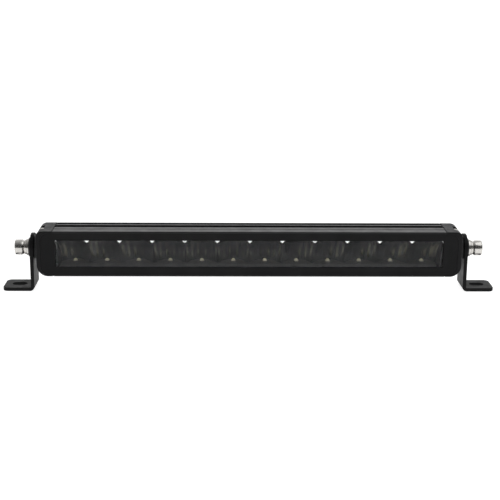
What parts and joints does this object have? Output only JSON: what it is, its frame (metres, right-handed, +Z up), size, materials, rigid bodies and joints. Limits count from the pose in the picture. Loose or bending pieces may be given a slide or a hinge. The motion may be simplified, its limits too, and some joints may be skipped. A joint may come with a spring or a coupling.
{
  "type": "led light bar",
  "caption": "Slim LED light bar with a clear lens, reflector row, finned black housing and side brackets on pivot bolts.",
  "frame": {"origin": "midpoint between the two mounting slots, on the underside of the bracket feet", "axes": "+X to the right end of the lamp, +Y to its back (the beam leaves along -Y), +Z up"},
  "size_m": [0.41, 0.0634, 0.0538],
  "materials": {
    "black_powder_coat": "satin black powder coat on extruded aluminium",
    "black_cast_coat": "fine-textured black powder coat on cast aluminium",
    "bracket_coat": "satin black powder coat on steel sheet",
    "black_rubber": "matte black silicone",
    "clear_polycarbonate": "clear hard-coated polycarbonate",
    "black_bezel": "matte black moulded bezel",
    "metallised_reflector": "vacuum-metallised mirror",
    "led_board_black": "black solder mask",
    "thermal_pad": "grey silicone pad",
    "led_ceramic": "white ceramic carrier",
    "led_phosphor": "clear silicone dome over yellow phosphor",
    "white_plastic": "moulded white plastic",
    "driver_board_green": "green solder mask",
    "ferrite": "dark ferrite",
    "capacitor_can": "drawn aluminium can",
    "chip_epoxy": "moulded epoxy",
    "black_nylon": "moulded black nylon",
    "vent_membrane": "white porous membrane",
    "stainless_steel": "turned stainless steel",
    "brass": "turned brass"
  },
  "bodies": {
    "lamp": {"board_links": "white_plastic", "driver_board": "driver_board_green", "driver_capacitors": "capacitor_can", "driver_coils": "ferrite", "driver_transistors": "chip_epoxy", "end_cap_left": "black_cast_coat", "end_cap_right": "black_cast_coat", "end_cap_screws_left": "stainless_steel", "end_cap_screws_right": "stainless_steel", "end_gasket_left": "black_rubber", "end_gasket_right": "black_rubber", "flat_washer_left": "stainless_steel", "flat_washer_right": "stainless_steel", "gland_body": "black_nylon", "gland_nut": "black_nylon", "gland_seal": "black_rubber", "gland_washer": "black_rubber", "housing_extrusion": "black_powder_coat", "input_terminal": "white_plastic", "led_board_left": "led_board_black", "led_board_middle": "led_board_black", "led_board_right": "led_board_black", "led_carriers": "led_ceramic", "led_domes": "led_phosphor", "lens": "clear_polycarbonate", "lens_bezel": "black_bezel", "lens_seal": "black_rubber", "outer_washer_left": "black_nylon", "outer_washer_right": "black_nylon", "pivot_bolt_left": "stainless_steel", "pivot_bolt_right": "stainless_steel", "pivot_washer_left": "black_nylon", "pivot_washer_right": "black_nylon", "reflector_left": "metallised_reflector", "reflector_middle": "metallised_reflector", "reflector_right": "metallised_reflector", "reflector_screws": "stainless_steel", "spring_washer_left": "stainless_steel", "spring_washer_right": "stainless_steel", "thermal_pad_left": "thermal_pad", "thermal_pad_middle": "thermal_pad", "thermal_pad_right": "thermal_pad", "threaded_insert_left": "brass", "threaded_insert_right": "brass", "vent_membrane": "vent_membrane", "vent_plug": "black_nylon"},
    "bracket_left": {"bracket_left": "bracket_coat"},
    "bracket_right": {"bracket_right": "bracket_coat"}
  },
  "joints": [
    {"name": "bracket_left_swing", "type": "hinge", "parent": "lamp", "child": "bracket_left", "pos_m": [-0.18, 0, 0.03475], "axis": [1, 0, 0], "continuous": true},
    {"name": "bracket_right_swing", "type": "hinge", "parent": "lamp", "child": "bracket_right", "pos_m": [0.18, 0, 0.03475], "axis": [1, 0, 0], "continuous": true}
  ]
}
